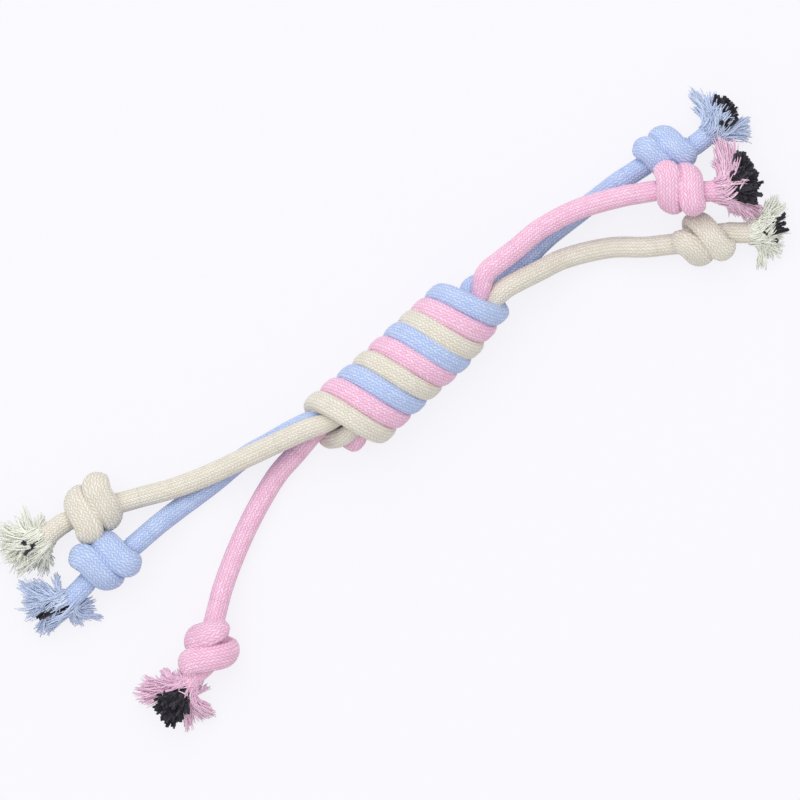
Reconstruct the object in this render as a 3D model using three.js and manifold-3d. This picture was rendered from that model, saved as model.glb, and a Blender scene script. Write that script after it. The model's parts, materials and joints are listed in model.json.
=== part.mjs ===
// Rope dog toy: three ropes tied together by one barrel knot, with a knot and a frayed tuft on all six ends.
// Millimetres, +Z up. X runs along the barrel knot, and the toy lies on the plane z = 0.
import * as THREE from 'three';
import { mergeVertices } from 'three/addons/utils/BufferGeometryUtils.js';
import Module from 'manifold-3d';

const wasm = await Module();
wasm.setup();

// Driving dimensions of the rope
const ropeDiameter = 9;
const coreDiameter = ropeDiameter * 5 / 9; // black yarns inside the braided cover
const coreClearance = 0.3; // between the yarns and the cover
const pieceGap = 0.3; // between pieces that touch
const footCut = 0.9; // flat pressed under each turn that the toy rests on

// Barrel knot: three strands wind side by side over their own six inner runs
const turns = 3;
const turnStrand = 8.3; // strand in the winding, pressed a little thinner than the free rope
const strandPitch = 9.13; // from one strand to the next along the barrel
const innerStrand = 5.2; // strand squeezed inside the barrel
const innerRing = 6.4; // radius on which the six inner runs lie
const windingSlack = 0.6; // between the inner runs and the turns over them

// End knots: one turn over two inner runs
const knotBand = 11.4; // width of the rope where it wraps the knot, pressed flat
const knotThickness = 6.6; // and its thickness there
const knotInner = 4.8; // the rope squeezed inside the knot
const knotPitch = 12.2; // along the knot, for its one turn
const knotWide = 9.6; // half width of the turn's centreline, across both inner runs
const knotDeep = 8.2; // half depth of the turn's centreline
const knotSpread = 3.3; // from the knot's axis to each inner run
const knotOffset = 3.5; // from the knot's axis to each end
const knotLag = 4; // degrees by which the turn falls short of a whole one at each end
const knotLeave = 8.8; // pulls of the bend from the turn into an inner run
const knotEnter = 9;
const knotInset = -0.2;

// Frayed ends
const lockCount = 9;
const lockThickness = 2.8;
const lockTip = 1.6;
const lockNotch = 0.62; // length of the yarns between two locks, as a share of the locks'
const lockSteps = 3;
const tuftRidges = 6;

// Facets
const strandSides = 8;
const stepsPerTurn = 24;
const innerSteps = 12;
const bendSteps = 6;
const tailSides = 8;
const tailSteps = 9;
const knotSides = 8;
const knotStepsPerTurn = 16;

const colours = { cream: 0xe9e2cd, pink: 0xf2a9cd, blue: 0xa9c4f0, black: 0x2b2a2f };
const ropes = ['cream', 'pink', 'blue'];

const lead = ropes.length * strandPitch;
const barrelHalf = turns * lead / 2;
const windingRadius = innerRing + innerStrand / 2 + windingSlack + turnStrand / 2;
const axisHeight = windingRadius + turnStrand / 2 - footCut;
const knotHeight = knotDeep + knotThickness / 2 - footCut;
const degree = Math.PI / 180;
const tailBore = coreDiameter + 2 * coreClearance;
const knotStraight = (knotBand + knotThickness) / 2; // straight run at each end of a knot
const halfTurn = new THREE.Matrix4().makeRotationZ(Math.PI);

// Places of the six inner runs round the barrel's axis, in degrees from +Y towards +Z: at the left mouth, in the
// middle and at the right mouth. The run with through: -1 crosses over the axis in the left half, 1 in the right half.
const innerRuns = {
  cream: { first: { places: [60, -75, -90], through: -1 }, second: { places: [120, 105, 150], through: 0 } },
  pink: { first: { places: [-60, -15, -30], through: 0 }, second: { places: [180, 165, 90], through: 1 } },
  blue: { first: { places: [0, 45, 30], through: 0 }, second: { places: [240, 225, 210], through: 0 } },
};

// How the strands leave the winding at a mouth, for the outermost, the middle and the innermost strand:
// degrees of the turn left before the inner run, and the pulls of the bend where it leaves and where it enters
const turnBacks = [
  { sweep: 128.6, leave: 14, enter: 10.8, inset: -2.4 },
  { sweep: 63.9, leave: 7.1, enter: 5.6, inset: -1.4 },
  { sweep: 75.5, leave: 13.8, enter: 2.4, inset: -7.7 },
];

// Free stretches: points from the barrel's mouth to the end knot, the knot's own place and roll, then the length
// of braid past the knot, the frayed end's heading, its locks' lean and length, and the black tuft in it
const tails = {
  left: {
    cream: {
      points: [[-67.2, 8.6, 22.2], [-81, 17, 18], [-101, 23.4, 14.2], [-115, 29.2, 11.4]],
      knot: { place: [-147, 45], heading: [-1, 0.16], turned: 8, roll: 180, height: 0, mirrored: true },
      stub: 4.6, end: [-1, -0.05, 0.12], splay: 92, locks: 17, tuft: { flare: 1.1, length: 8 },
    },
    pink: {
      points: [[-63.3, 1.6, 8.7], [-77, 2.4, 5], [-96, -2.8, 5], [-114, -10.4, 5.6]],
      knot: { place: [-150.8, -32.6], heading: [-1, -0.36], turned: -10, roll: 180, height: 0, mirrored: false },
      stub: 0.5, end: [-1, -0.1, 0.3], splay: 88, locks: 16, tuft: { flare: 3, length: 15 },
    },
    blue: {
      points: [[-68.4, 13.2, 11.5], [-82, 18.2, 5], [-101, 19.6, 5], [-119, 21.6, 5.6]],
      knot: { place: [-157, 24.2], heading: [-1, 0.16], turned: -4, roll: 180, height: 0, mirrored: false },
      stub: 4.5, end: [-1, -0.05, 0.06], splay: 80, locks: 19, tuft: { flare: 1.3, length: 14 },
    },
  },
  right: {
    cream: {
      points: [[64.1, -7.4, 17.4], [79, -11.3, 9.6], [97, -21.6, 6.8]],
      knot: { place: [128.6, -45], heading: [0.7, -0.71], turned: 6, roll: 180, height: 0, mirrored: false },
      stub: 0.5, end: [0.8, -0.5, 0.1], splay: 80, locks: 15, tuft: { flare: 1.9, length: 15 },
    },
    pink: {
      points: [[64.7, 6.3, 23.1], [79, 5.4, 18.6], [97, 0.8, 19.4]],
      knot: { place: [136.6, -21.2], heading: [0.71, -0.7], turned: -10, roll: 180, height: 12, mirrored: false },
      stub: 0.5, end: [0.72, -0.66, -0.1], splay: 70, locks: 19, tuft: { flare: 3.6, length: 16 },
    },
    blue: {
      points: [[62.4, -0.5, 10], [79, 0.6, 5], [97, -0.6, 5], [110, -1.4, 5.6]],
      knot: { place: [142.3, -6.6], heading: [1, -0.34], turned: -6, roll: 180, height: 0, mirrored: false },
      stub: 1, end: [1, -0.05, 0.1], splay: 84, locks: 17, tuft: { flare: 3, length: 15 },
    },
  },
};

const group = new THREE.Group();
const leastGaps = {};

// A point on a turn round the x axis: along it, at a radius, at an angle from +Y towards +Z
function around(x, radius, angle) {
  return new THREE.Vector3(x, radius * Math.cos(angle), radius * Math.sin(angle));
}

// Cubic bend from one place and heading to another, without its two ends
function bend(from, fromPull, to, toPull, steps) {
  const curve = new THREE.CubicBezierCurve3(
    from, from.clone().add(fromPull), to.clone().sub(toPull), to,
  );
  return curve.getPoints(steps).slice(1, -1);
}

// Points, strand diameters and, where the strand winds, outward directions of a route, joined end to end
class Route {
  constructor() {
    this.points = [];
    this.diameters = [];
    this.thicknesses = [];
    this.outward = [];
  }

  // A section is a diameter, or a width and a thickness where the strand is pressed flat
  add(points, fromSection, toSection = fromSection, outward = []) {
    const [fromWidth, fromThickness] = [fromSection].flat().length > 1 ? fromSection : [fromSection, fromSection];
    const [toWidth, toThickness] = [toSection].flat().length > 1 ? toSection : [toSection, toSection];
    points.forEach((point, i) => {
      const share = THREE.MathUtils.smoothstep(points.length > 1 ? i / (points.length - 1) : 1, 0, 1);
      this.points.push(point);
      this.diameters.push(THREE.MathUtils.lerp(fromWidth, toWidth, share));
      this.thicknesses.push(THREE.MathUtils.lerp(fromThickness, toThickness, share));
      this.outward.push(outward[i] ?? null);
    });
    return this;
  }

  placed(matrix) {
    const copy = new Route();
    copy.points = this.points.map((point) => point.clone().applyMatrix4(matrix));
    copy.diameters = this.diameters;
    copy.thicknesses = this.thicknesses;
    copy.outward = this.outward.map((side) => side && side.clone().transformDirection(matrix));
    return copy;
  }
}

// Closed solid of given corners and triangles, its faces turned outwards
function solidOf(corners, faces) {
  const volume = faces.reduce((sum, [a, b, c]) => sum + corners[a].dot(corners[b].clone().cross(corners[c])), 0);
  const outwards = volume < 0 ? faces.map(([a, b, c]) => [a, c, b]) : faces;
  const mesh = new wasm.Mesh({
    numProp: 3,
    vertProperties: new Float32Array(corners.flatMap((corner) => [corner.x, corner.y, corner.z])),
    triVerts: new Uint32Array(outwards.flat()),
  });
  return new wasm.Manifold(mesh);
}

// Solid of a three.js geometry
function solidOfGeometry(geometry) {
  geometry.deleteAttribute('normal');
  geometry.deleteAttribute('uv');
  const merged = mergeVertices(geometry, 1e-4);
  const mesh = new wasm.Mesh({
    numProp: 3,
    vertProperties: new Float32Array(merged.attributes.position.array),
    triVerts: new Uint32Array(merged.index.array),
  });
  return new wasm.Manifold(mesh);
}

// Solid through closed rings of as many corners each, with flat ends
function loft(rings) {
  const sides = rings[0].length;
  const corners = rings.flat();
  const faces = [];
  for (let i = 0; i + 1 < rings.length; i += 1) {
    for (let j = 0; j < sides; j += 1) {
      const a = i * sides + j;
      const b = i * sides + (j + 1) % sides;
      faces.push([a, b, b + sides], [a, b + sides, a + sides]);
    }
  }
  const last = (rings.length - 1) * sides;
  for (let j = 1; j + 1 < sides; j += 1) {
    faces.push([0, j + 1, j], [last, last + j, last + j + 1]);
  }
  return solidOf(corners, faces);
}

// Direction along each point of a route, and a pair square to it: outward where the strand winds, and turning as
// little as possible before and after that
function framesAlong({ points, outward }) {
  const ahead = points.map((point, i) => {
    const before = points[Math.max(i - 1, 0)];
    const after = points[Math.min(i + 1, points.length - 1)];
    return after.clone().sub(before).normalize();
  });
  const square = (side, i) => side.clone().addScaledVector(ahead[i], -side.dot(ahead[i])).normalize();
  const known = Math.max(outward.findIndex((side) => side), 0);
  const sides = [];
  sides[known] = square(outward[known] ?? new THREE.Vector3(0, 0, 1), known);
  for (let i = known + 1; i < points.length; i += 1) {
    sides[i] = square(outward[i] ?? sides[i - 1], i);
  }
  for (let i = known - 1; i >= 0; i -= 1) {
    sides[i] = square(sides[i + 1], i);
  }
  return sides.map((side, i) => ({ side, other: ahead[i].clone().cross(side) }));
}

// Tube along a route, as wide and as thick as the strand is at each point, plus an allowance all round
function tube(route, sides, allowance = 0) {
  const frames = framesAlong(route);
  const corner = (1 + 1 / Math.cos(Math.PI / sides)) / 2;
  const rings = route.points.map((point, i) => {
    const halfWidth = (route.diameters[i] / 2 + allowance) * corner;
    const halfThickness = (route.thicknesses[i] / 2 + allowance) * corner;
    return Array.from({ length: sides }, (unused, j) => {
      const angle = 2 * Math.PI * (j + 0.5) / sides;
      return point.clone()
        .addScaledVector(frames[i].side, halfThickness * Math.cos(angle))
        .addScaledVector(frames[i].other, halfWidth * Math.sin(angle));
    });
  });
  return loft(rings);
}

// Corners round a point, at a radius given for each angle
function ringAround(centre, side, other, sides, radiusAt) {
  return Array.from({ length: sides }, (unused, j) => {
    const angle = 2 * Math.PI * j / sides;
    return centre.clone()
      .addScaledVector(side, radiusAt(angle) * Math.cos(angle))
      .addScaledVector(other, radiusAt(angle) * Math.sin(angle));
  });
}

// Least gap of a tube to itself, between points that lie further apart along it than they would across a bend:
// the distance of the two points less how far each one's section reaches towards the other
function selfGap(route) {
  const { points, diameters, thicknesses } = route;
  const frames = framesAlong(route);
  const travelled = [0];
  for (let i = 1; i < points.length; i += 1) {
    travelled.push(travelled[i - 1] + points[i].distanceTo(points[i - 1]));
  }
  const reach = (i, towards) => {
    const thick = towards.dot(frames[i].side) / thicknesses[i];
    const wide = towards.dot(frames[i].other) / diameters[i];
    return Math.min(0.5 / Math.hypot(thick, wide), diameters[i] / 2);
  };
  let least = Infinity;
  for (let i = 0; i < points.length; i += 1) {
    for (let j = i + 1; j < points.length; j += 1) {
      const towards = points[j].clone().sub(points[i]);
      const distance = towards.length();
      towards.divideScalar(distance);
      const reaches = reach(i, towards) + reach(j, towards);
      if (travelled[j] - travelled[i] > 1.7 * Math.max(reaches, thicknesses[i])) {
        least = Math.min(least, distance - reaches);
      }
    }
  }
  return least;
}

// Inner run of one rope through the barrel, from one end to the other along it
function innerRun({ places, through }, start, end) {
  const points = [];
  for (let i = 0; i <= innerSteps; i += 1) {
    const share = i / innerSteps;
    const half = share < 0.5 ? -1 : 1;
    const local = share < 0.5 ? share * 2 : share * 2 - 1;
    const from = places[half < 0 ? 0 : 1];
    const to = places[half < 0 ? 1 : 2];
    const crosses = through === half;
    const swing = crosses ? (local < 0.5 ? 0 : 1) : THREE.MathUtils.smoothstep(local, 1 / 3, 2 / 3);
    const inward = THREE.MathUtils.smoothstep(local, 0, 1 / 3) - THREE.MathUtils.smoothstep(local, 2 / 3, 1);
    const radius = crosses ? innerRing * (1 - inward) : innerRing;
    const x = half < 0 ? start * (1 - local) : end * local;
    points.push(around(x, radius, THREE.MathUtils.lerp(from, to, swing) * degree));
  }
  return points;
}

// Bend at the left mouth from the winding into an inner run
function turnBack(rank, crossing, place) {
  const { sweep, leave, enter, inset } = turnBacks[rank];
  const entry = (place - 360) * degree;
  const angle = entry + sweep * degree;
  const x = crossing + lead * (angle - Math.PI / 2) / (2 * Math.PI);
  const from = around(x, windingRadius, angle);
  const slope = lead / (2 * Math.PI * windingRadius);
  const heading = new THREE.Vector3(-slope, Math.sin(angle), -Math.cos(angle)).normalize();
  const to = around(-barrelHalf + innerStrand - inset, innerRing, entry);
  const points = bend(from, heading.multiplyScalar(leave), to, new THREE.Vector3(enter, 0, 0), bendSteps);
  return { points, angle };
}

// Route of one rope through the barrel knot: in at the left mouth, along the inside, back over the outside in
// turns, and along the inside again to the right mouth
function windingRoute(rope) {
  const rank = ropes.indexOf(rope);
  const crossing = -barrelHalf + strandPitch * (rank + 0.5);
  const { first, second } = innerRuns[rope];
  const left = turnBack(rank, crossing, second.places[0]);
  const rightRank = ropes.length - 1 - rank;
  const rightCrossing = -barrelHalf + strandPitch * (rightRank + 0.5);
  const right = turnBack(rightRank, rightCrossing, 180 - first.places[2]);
  const rightPoints = right.points.map((point) => point.clone().applyMatrix4(halfTurn)).reverse();
  const leftAngle = left.angle;
  const rightAngle = 2 * Math.PI * (turns - 1) + Math.PI - right.angle;
  const steps = Math.round((rightAngle - leftAngle) / (2 * Math.PI) * stepsPerTurn);
  const helix = [];
  const outward = [];
  for (let i = 0; i <= steps; i += 1) {
    const angle = THREE.MathUtils.lerp(rightAngle, leftAngle, i / steps);
    helix.push(around(crossing + lead * (angle - Math.PI / 2) / (2 * Math.PI), windingRadius, angle));
    outward.push(around(0, 1, angle));
  }
  const mouthReach = barrelHalf - innerStrand;
  const firstRun = innerRun(first, -mouthReach, mouthReach + turnBacks[rightRank].inset);
  const secondRun = innerRun(second, -mouthReach - turnBacks[rank].inset, mouthReach);
  const route = new Route();
  route.add(mouth('left', rope, firstRun[0]).reverse(), ropeDiameter, innerStrand);
  route.add(firstRun, innerStrand);
  route.add(rightPoints, innerStrand, turnStrand);
  route.add(helix, turnStrand, turnStrand, outward);
  route.add(left.points, turnStrand, innerStrand);
  route.add(secondRun, innerStrand);
  route.add(mouth('right', rope, secondRun[secondRun.length - 1]), innerStrand, ropeDiameter);
  return route;
}

// Way out of a mouth, from the end of an inner run to where the free stretch starts
function mouth(side, rope, from) {
  const sign = side === 'left' ? -1 : 1;
  const next = new THREE.Vector3(...tails[side][rope].points[0]);
  next.z -= axisHeight;
  const after = new THREE.Vector3(...tails[side][rope].points[1]);
  after.z -= axisHeight;
  const heading = after.sub(next).normalize();
  const start = next.clone().addScaledVector(heading, -ropeDiameter);
  const span = start.distanceTo(from);
  const bent = bend(
    from, new THREE.Vector3(sign * span * 0.45, 0, 0), start, heading.clone().multiplyScalar(span * 0.35), 6,
  );
  return [...bent, start, next];
}

// Route of an end knot along its own x axis, its wide side along y: in along one inner run, back over both in one
// turn, and out along the other
function knotRoute() {
  const half = knotPitch / 2;
  const lag = knotLag * degree;
  const helix = [];
  const outward = [];
  for (let i = 0; i <= knotStepsPerTurn; i += 1) {
    const angle = THREE.MathUtils.lerp(1.5 * Math.PI - lag, -0.5 * Math.PI + lag, i / knotStepsPerTurn);
    const along = knotPitch * (angle - Math.PI / 2) / (2 * Math.PI);
    helix.push(new THREE.Vector3(along, knotWide * Math.cos(angle), knotDeep * Math.sin(angle)));
    outward.push(around(0, 1, angle));
  }
  const last = helix[knotStepsPerTurn];
  const heading = last.clone().sub(helix[knotStepsPerTurn - 1]).normalize();
  const inside = new THREE.Vector3(-half + knotInset, -knotSpread, 0);
  const left = bend(
    last, heading.multiplyScalar(knotLeave), inside, new THREE.Vector3(knotEnter, 0, 0), bendSteps,
  );
  const right = left.map((point) => point.clone().applyMatrix4(halfTurn)).reverse();
  const leaving = new THREE.Vector3(half - knotInset, -knotSpread, 0);
  const straight = new THREE.Vector3(half + knotBand / 2, -knotOffset, 0);
  const out = [
    leaving,
    ...bend(leaving, new THREE.Vector3(4, 0, 0), straight, new THREE.Vector3(3, 0, 0), 4),
    straight,
    straight.clone().add(new THREE.Vector3(knotStraight, 0, 0)),
  ];
  const into = out.map((point) => point.clone().applyMatrix4(halfTurn)).reverse();
  const band = [knotBand, knotThickness];
  const route = new Route();
  route.add(into, ropeDiameter, knotInner);
  route.add(right, knotInner, band);
  route.add(helix, band, band, outward);
  route.add(left, band, knotInner);
  route.add([inside], knotInner);
  route.add(out, knotInner, ropeDiameter);
  return route;
}

// Route of an end knot where it lies: tied one way or its mirror image, rolled about its axis, turned along its
// heading and bent from where it comes in to where it goes out
function placedKnot({ place, heading, roll, height, turned, mirrored }) {
  const route = knotRoute();
  const reach = route.points[route.points.length - 1].x;
  const flip = new THREE.Matrix4().makeScale(1, mirrored ? -1 : 1, 1);
  const rolled = new THREE.Matrix4().makeRotationX(roll * degree).multiply(flip);
  const lying = route.placed(rolled);
  const copy = lying.placed(new THREE.Matrix4());
  const base = Math.atan2(heading[1], heading[0]);
  const turn = (share) => base + THREE.MathUtils.clamp(share, -1, 1) * turned / 2 * degree;
  copy.points = lying.points.map((point) => (
    point.clone().applyAxisAngle(new THREE.Vector3(0, 0, 1), turn(point.x / (reach - knotStraight)))
      .add(new THREE.Vector3(place[0], place[1], knotHeight + height))
  ));
  copy.outward = lying.outward.map((side, i) => (
    side && side.clone().applyAxisAngle(new THREE.Vector3(0, 0, 1), turn(lying.points[i].x / reach))
  ));
  return copy;
}

// Closed polygon for a cord's section, with a bore if one is given
function section(diameter, sides, bore = 0) {
  const corner = (1 + 1 / Math.cos(Math.PI / sides)) / 2;
  const circle = (radius) => Array.from({ length: sides }, (unused, j) => {
    const angle = 2 * Math.PI * j / sides;
    return new THREE.Vector2(radius * corner * Math.cos(angle), radius * corner * Math.sin(angle));
  });
  const shape = new THREE.Shape(circle(diameter / 2));
  if (bore > 0) {
    shape.holes.push(new THREE.Path(circle(bore / 2).reverse()));
  }
  return shape;
}

// Solid of a section carried along points
function extrudeAlong(shape, points, steps) {
  const extrudePath = new THREE.CatmullRomCurve3(points, false, 'centripetal');
  return solidOfGeometry(new THREE.ExtrudeGeometry(shape, { steps, extrudePath, bevelEnabled: false }));
}

// Points of a free stretch, from the barrel's end face to the knot's
function tailPoints({ points }, knotEnds) {
  const list = points.map((point) => new THREE.Vector3(...point));
  const first = list[0].clone().addScaledVector(list[1].clone().sub(list[0]).normalize(), pieceGap);
  const entry = knotEnds[0];
  const back = entry.clone().sub(knotEnds[1]).normalize();
  const last = entry.clone().addScaledVector(back, pieceGap);
  const before = entry.clone().addScaledVector(back, ropeDiameter / 2);
  const second = first.clone().lerp(list[1], 0.2);
  return [first, second, ...list.slice(1), before, last];
}

// Middle of the splayed yarns at one angle round the braid's end, from its root to its tip: they bend out from the
// heading, and go forward along the table where they would fall through it
function lockPoints(frame, angle, lean, length) {
  const radial = frame.side.clone().multiplyScalar(Math.cos(angle)).addScaledVector(frame.other, Math.sin(angle));
  const forward = frame.direction.clone().setZ(0).normalize();
  const points = [frame.origin.clone().addScaledVector(radial, (ropeDiameter - lockThickness) / 2)];
  for (let i = 0; i < lockSteps; i += 1) {
    const share = Math.sqrt((i + 1) / lockSteps) * lean * degree;
    const step = frame.direction.clone().multiplyScalar(Math.cos(share)).addScaledVector(radial, Math.sin(share));
    step.multiplyScalar(length / lockSteps);
    const room = lockThickness / 2 + 0.2 * i - points[i].z;
    if (step.z < room) {
      const spare = Math.max(step.length() ** 2 - room ** 2, 0) ** 0.5;
      step.setZ(0).normalize().add(forward).setLength(spare);
      step.z = room;
    }
    points.push(points[i].clone().add(step));
  }
  return points;
}

// Splayed cover yarns: a skirt notched into locks of uneven length, with an outer and an inner face
function lockRings(frame, { splay, locks }) {
  const sides = 3 * lockCount;
  const columns = Array.from({ length: sides }, (unused, j) => {
    const lock = Math.round(j / 3 + 1 / 3) % lockCount;
    const reach = locks * (1 + 0.16 * Math.sin(lock * 2.4)) * (j % 3 === 0 ? lockNotch : 1);
    const lean = splay * (1 + 0.3 * Math.cos(lock * 2.2));
    return lockPoints(frame, 2 * Math.PI * j / sides, lean, reach);
  });
  const faces = [1, -1].map((way) => Array.from({ length: lockSteps + 1 }, (unused, i) => (
    columns.map((points, j) => {
      const ahead = points[Math.min(i + 1, lockSteps)].clone().sub(points[Math.max(i - 1, 0)]);
      const across = columns[(j + 1) % sides][i].clone().sub(columns[(j + sides - 1) % sides][i]);
      const thickness = THREE.MathUtils.lerp(lockThickness, lockTip, i / lockSteps);
      return points[i].clone().addScaledVector(across.cross(ahead).normalize(), way * thickness / 2);
    })
  )));
  return [...faces[0], ...faces[1].reverse()];
}

// Frame at the end of an end knot, turned towards the frayed end's own heading
function endFrame(origin, heading) {
  const direction = new THREE.Vector3(...heading).normalize();
  const side = new THREE.Vector3(0, 0, 1).addScaledVector(direction, -direction.z).normalize();
  return { origin, direction, side, other: direction.clone().cross(side) };
}

// Tuft of black yarns: a round stem in the braid's bore, then a ridged brush that spreads
function tuft(stem, frame, { flare, length }, allowance = 0) {
  const stations = [
    [stem.direction, stem.origin, pieceGap, 1, 0],
    [frame.direction, frame.origin, 0, 1, 0],
    [frame.direction, frame.origin, length * 0.35, 1 + (flare - 1) * 0.3, 0.5],
    [frame.direction, frame.origin, length * 0.75, 1 + (flare - 1) * 0.85, 1],
    [frame.direction, frame.origin, length, flare * 0.86, 1],
  ];
  const rings = stations.map(([direction, origin, along, spread, ridged]) => {
    const centre = origin.clone().addScaledVector(direction, along - (along > pieceGap ? 0 : allowance));
    const radius = coreDiameter / 2;
    return ringAround(centre, frame.side, frame.other, 2 * tuftRidges, (angle) => (
      radius * spread * (1 + 0.1 * ridged * Math.cos(tuftRidges * angle)) + allowance
    ));
  });
  return loft(rings);
}

// Everything below the table
function belowTable() {
  const size = 1000;
  const box = new THREE.BoxGeometry(size, size, size);
  box.translate(0, 0, -size / 2);
  return solidOfGeometry(box);
}

// Everything that one rope is made of, in the order in which a piece gives way to the earlier ones that it touches
function ropePieces(rope) {
  const winding = windingRoute(rope).placed(new THREE.Matrix4().makeTranslation(0, 0, axisHeight));
  leastGaps[`barrel_winding_${rope}`] = selfGap(winding);
  const pieces = [{
    name: `barrel_winding_${rope}`, colour: rope, rank: 0, footed: true,
    build: (allowance) => tube(winding, strandSides, allowance),
  }];
  for (const side of ['left', 'right']) {
    const tail = tails[side][rope];
    const knot = placedKnot(tail.knot);
    leastGaps[`end_knot_${side}_${rope}`] = selfGap(knot);
    const path = tailPoints(tail, knot.points);
    const exit = knot.points[knot.points.length - 1];
    const knotDirection = exit.clone().sub(knot.points[knot.points.length - 2]).normalize();
    const stem = endFrame(exit, knotDirection.toArray());
    const collar = exit.clone().addScaledVector(knotDirection, tail.stub);
    const frame = endFrame(collar, tail.end);
    pieces.push({
      name: `end_knot_${side}_${rope}`, colour: rope, rank: 1, footed: true,
      build: (allowance) => tube(knot, knotSides, allowance),
    }, {
      name: `tail_${side}_${rope}`, colour: rope, rank: 2, footed: true,
      build: (allowance) => extrudeAlong(section(ropeDiameter + 2 * allowance, tailSides, tailBore), path, tailSteps),
    }, {
      name: `tail_core_${side}_${rope}`, colour: 'black', rank: 2, inside: true,
      build: () => extrudeAlong(section(coreDiameter, tailSides), path, tailSteps),
    }, {
      name: `core_tuft_${side}_${rope}`, colour: 'black', rank: 3, footed: true,
      build: (allowance) => tuft(stem, frame, tail.tuft, allowance),
    }, {
      name: `frayed_end_${side}_${rope}`, colour: rope, rank: 4, footed: true,
      build: () => frayedEnd(stem, frame, tail),
    });
  }
  return pieces;
}

// Frayed end: what is left of the braid past the knot, and its splayed cover yarns
function frayedEnd(stem, frame, tail) {
  const start = stem.origin.clone().addScaledVector(stem.direction, pieceGap);
  const root = ringAround(start, stem.side, stem.other, 3 * lockCount, () => ropeDiameter / 2);
  return loft([root, ...lockRings(frame, tail)]);
}

// Mesh of a solid
function meshOf(solid, name, colour) {
  const { vertProperties, triVerts } = solid.getMesh();
  const geometry = new THREE.BufferGeometry();
  geometry.setAttribute('position', new THREE.BufferAttribute(new Float32Array(vertProperties), 3));
  geometry.setIndex(new THREE.BufferAttribute(new Uint32Array(triVerts), 1));
  geometry.computeVertexNormals();
  const material = new THREE.MeshStandardMaterial({ color: colours[colour], roughness: 0.85, metalness: 0 });
  const mesh = new THREE.Mesh(geometry, material);
  mesh.name = name;
  return mesh;
}

// Whether two solids come nearer to each other than an allowance, by their boxes
function boxesMeet(a, b, allowance) {
  const boxA = a.boundingBox();
  const boxB = b.boundingBox();
  return [0, 1, 2].every((k) => (
    boxA.min[k] - allowance < boxB.max[k] && boxB.min[k] - allowance < boxA.max[k]
  ));
}

// Largest of the bodies that a cut leaves: the tip of a lock that lies across another rope's end is left out
function largestBody(solid) {
  return solid.decompose().reduce((best, body) => (body.volume() > best.volume() ? body : best));
}

const pieces = ropes.flatMap(ropePieces).sort((a, b) => a.rank - b.rank);
const below = belowTable();
for (const piece of pieces) {
  piece.solid = piece.build(0);
}
pieces.forEach((piece, i) => {
  for (const earlier of pieces.slice(0, i)) {
    const apart = piece.inside || earlier.inside || !boxesMeet(piece.solid, earlier.solid, pieceGap);
    if (!apart && piece.solid.intersect(earlier.build(pieceGap)).volume() > 1e-6) {
      piece.solid = piece.solid.subtract(earlier.build(pieceGap));
    }
  }
  if (piece.footed) {
    piece.solid = largestBody(piece.solid.subtract(below));
  }
});

for (const piece of pieces) {
  group.add(meshOf(piece.solid, piece.name, piece.colour));
}
const bounds = new THREE.Box3().setFromObject(group, true);
const middle = bounds.getCenter(new THREE.Vector3());
group.position.set(-middle.x, -middle.y, 0);
group.updateMatrixWorld(true);
const triangles = group.children.reduce((sum, mesh) => sum + mesh.geometry.index.count / 3, 0);
console.log(`${group.children.length} pieces, ${triangles} triangles`);
console.log('size', bounds.getSize(new THREE.Vector3()).toArray().map((v) => v.toFixed(1)).join(' x '), 'mm');
for (const [name, gap] of Object.entries(leastGaps)) {
  console.log(`${name}: least gap to itself ${gap.toFixed(2)} mm`);
}

export default group;
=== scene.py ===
# Rope dog toy: three braided ropes wound together in a barrel knot, their six ends knotted and frayed
import functools
import json
import math

import bpy
import numpy as np
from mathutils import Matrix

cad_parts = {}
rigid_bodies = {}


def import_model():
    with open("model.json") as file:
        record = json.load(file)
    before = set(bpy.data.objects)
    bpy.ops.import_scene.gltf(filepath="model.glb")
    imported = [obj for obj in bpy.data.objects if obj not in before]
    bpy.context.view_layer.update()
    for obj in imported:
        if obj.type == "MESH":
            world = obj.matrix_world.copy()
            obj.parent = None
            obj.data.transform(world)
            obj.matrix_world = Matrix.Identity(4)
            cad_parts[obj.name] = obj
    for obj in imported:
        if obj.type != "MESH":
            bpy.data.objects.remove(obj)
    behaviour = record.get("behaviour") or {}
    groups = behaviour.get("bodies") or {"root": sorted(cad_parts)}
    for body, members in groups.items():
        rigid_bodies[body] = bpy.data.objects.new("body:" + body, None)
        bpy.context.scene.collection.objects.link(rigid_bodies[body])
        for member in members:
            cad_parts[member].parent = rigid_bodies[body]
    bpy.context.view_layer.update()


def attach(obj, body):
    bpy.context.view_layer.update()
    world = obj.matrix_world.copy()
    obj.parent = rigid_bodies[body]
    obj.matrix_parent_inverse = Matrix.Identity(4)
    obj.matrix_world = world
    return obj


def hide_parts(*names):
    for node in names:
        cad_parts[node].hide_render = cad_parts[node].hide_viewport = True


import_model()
mm = 0.001
degree = math.pi / 180
ropeNames = ("cream", "pink", "blue")
bothSides = ("left", "right")

# The photograph looks straight down, and its frame is 800 pixels square
cameraView = {
    "barrelCentre": (9.407, 1.304),  # mm from the frame's origin, as the CAD source places it
    "turn": 42.2,  # degrees that the barrel lies turned in the picture
    "width": 349.6,  # mm that the picture takes in
    "middle": (-15.5, -8.8),  # mm from the barrel's centre
    "distance": 3000,
    "sensor": 36,
    "farthest": 20,  # m that the camera sees
}


def addThing(name, data):
    thing = bpy.data.objects.new(name, data)
    bpy.context.scene.collection.objects.link(thing)
    return thing


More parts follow.
